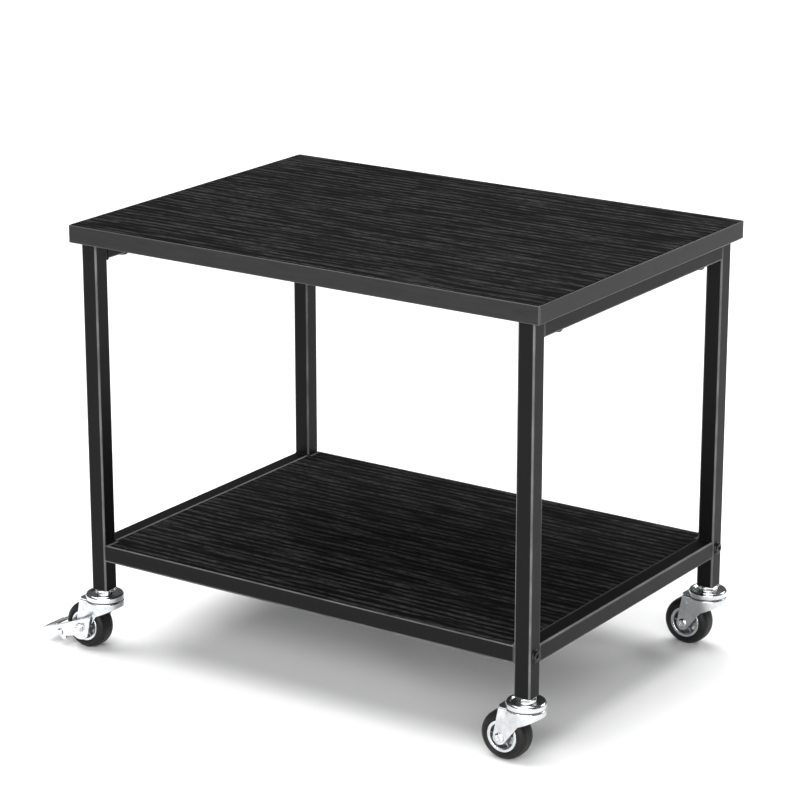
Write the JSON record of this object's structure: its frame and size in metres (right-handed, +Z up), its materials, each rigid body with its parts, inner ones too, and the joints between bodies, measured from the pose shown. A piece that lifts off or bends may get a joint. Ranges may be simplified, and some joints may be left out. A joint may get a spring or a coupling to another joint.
{
  "type": "printer stand",
  "caption": "Low rolling printer stand with a laminated top, a lower shelf, welded square-tube side frames and swivel casters, some with pedal brakes.",
  "frame": {"origin": "on the floor, under the middle of the bounding box of the stand at rest, with its casters trailing towards -X", "axes": "+X along the stand's length, away from the braked casters; -Y towards the front long side; +Z up"},
  "size_m": [0.4633, 0.3106, 0.348],
  "materials": {
    "laminate": "black embossed wood-grain laminate on board, matching edge band",
    "powder_coat": "black satin powder coat on steel",
    "black_steel": "black oxide",
    "zinc_plate": "bright zinc plate on pressed steel",
    "chrome_plate": "bright chrome plate",
    "rubber_tyre": "moulded black rubber, satin"
  },
  "bodies": {
    "frame": {"angle_rail_back": "powder_coat", "angle_rail_front": "powder_coat", "ball_ring_back_left": "chrome_plate", "ball_ring_back_right": "chrome_plate", "ball_ring_front_left": "chrome_plate", "ball_ring_front_right": "chrome_plate", "board_screw_back_left": "black_steel", "board_screw_back_right": "black_steel", "board_screw_front_left": "black_steel", "board_screw_front_right": "black_steel", "frame_bolt_back_left": "black_steel", "frame_bolt_back_right": "black_steel", "frame_bolt_front_left": "black_steel", "frame_bolt_front_right": "black_steel", "leg_back_left": "powder_coat", "leg_back_right": "powder_coat", "leg_front_left": "powder_coat", "leg_front_right": "powder_coat", "leg_insert_back_left": "zinc_plate", "leg_insert_back_right": "zinc_plate", "leg_insert_front_left": "zinc_plate", "leg_insert_front_right": "zinc_plate", "lower_rail_left": "powder_coat", "lower_rail_right": "powder_coat", "shelf_board": "laminate", "stem_back_left": "zinc_plate", "stem_back_right": "zinc_plate", "stem_front_left": "zinc_plate", "stem_front_right": "zinc_plate", "swivel_cap_back_left": "chrome_plate", "swivel_cap_back_right": "chrome_plate", "swivel_cap_front_left": "chrome_plate", "swivel_cap_front_right": "chrome_plate", "top_board": "laminate", "top_rail_left": "powder_coat", "top_rail_right": "powder_coat"},
    "fork_front_left": {"fork_front_left": "zinc_plate", "axle_front_left": "zinc_plate", "brake_plate_outer_front_left": "zinc_plate", "brake_plate_inner_front_left": "zinc_plate", "brake_pin_front_left": "zinc_plate"},
    "wheel_front_left": {"wheel_core_front_left": "zinc_plate", "tyre_front_left": "rubber_tyre"},
    "pedal_front_left": {"brake_pedal_front_left": "zinc_plate"},
    "fork_front_right": {"fork_front_right": "zinc_plate", "axle_front_right": "zinc_plate"},
    "wheel_front_right": {"wheel_core_front_right": "zinc_plate", "tyre_front_right": "rubber_tyre"},
    "fork_back_left": {"fork_back_left": "zinc_plate", "axle_back_left": "zinc_plate", "brake_plate_outer_back_left": "zinc_plate", "brake_plate_inner_back_left": "zinc_plate", "brake_pin_back_left": "zinc_plate"},
    "wheel_back_left": {"wheel_core_back_left": "zinc_plate", "tyre_back_left": "rubber_tyre"},
    "pedal_back_left": {"brake_pedal_back_left": "zinc_plate"},
    "fork_back_right": {"fork_back_right": "zinc_plate", "axle_back_right": "zinc_plate"},
    "wheel_back_right": {"wheel_core_back_right": "zinc_plate", "tyre_back_right": "rubber_tyre"}
  },
  "joints": [
    {"name": "swivel_front_left", "type": "hinge", "parent": "frame", "child": "fork_front_left", "pos_m": [-0.1756, -0.137, 0.043], "axis": [0, 0, 1], "continuous": true},
    {"name": "roll_front_left", "type": "hinge", "parent": "fork_front_left", "child": "wheel_front_left", "pos_m": [-0.1916, -0.137, 0.019], "axis": [0, 1, 0], "continuous": true},
    {"name": "brake_front_left", "type": "hinge", "parent": "fork_front_left", "child": "pedal_front_left", "pos_m": [-0.2118, -0.137, 0.0113], "axis": [0, -1, 0], "range_deg": [0, 14]},
    {"name": "swivel_front_right", "type": "hinge", "parent": "frame", "child": "fork_front_right", "pos_m": [0.2164, -0.137, 0.043], "axis": [0, 0, 1], "continuous": true},
    {"name": "roll_front_right", "type": "hinge", "parent": "fork_front_right", "child": "wheel_front_right", "pos_m": [0.2004, -0.137, 0.019], "axis": [0, 1, 0], "continuous": true},
    {"name": "swivel_back_left", "type": "hinge", "parent": "frame", "child": "fork_back_left", "pos_m": [-0.1756, 0.137, 0.043], "axis": [0, 0, 1], "continuous": true},
    {"name": "roll_back_left", "type": "hinge", "parent": "fork_back_left", "child": "wheel_back_left", "pos_m": [-0.1916, 0.137, 0.019], "axis": [0, 1, 0], "continuous": true},
    {"name": "brake_back_left", "type": "hinge", "parent": "fork_back_left", "child": "pedal_back_left", "pos_m": [-0.2118, 0.137, 0.0113], "axis": [0, -1, 0], "range_deg": [0, 14]},
    {"name": "swivel_back_right", "type": "hinge", "parent": "frame", "child": "fork_back_right", "pos_m": [0.2164, 0.137, 0.043], "axis": [0, 0, 1], "continuous": true},
    {"name": "roll_back_right", "type": "hinge", "parent": "fork_back_right", "child": "wheel_back_right", "pos_m": [0.2004, 0.137, 0.019], "axis": [0, 1, 0], "continuous": true}
  ]
}
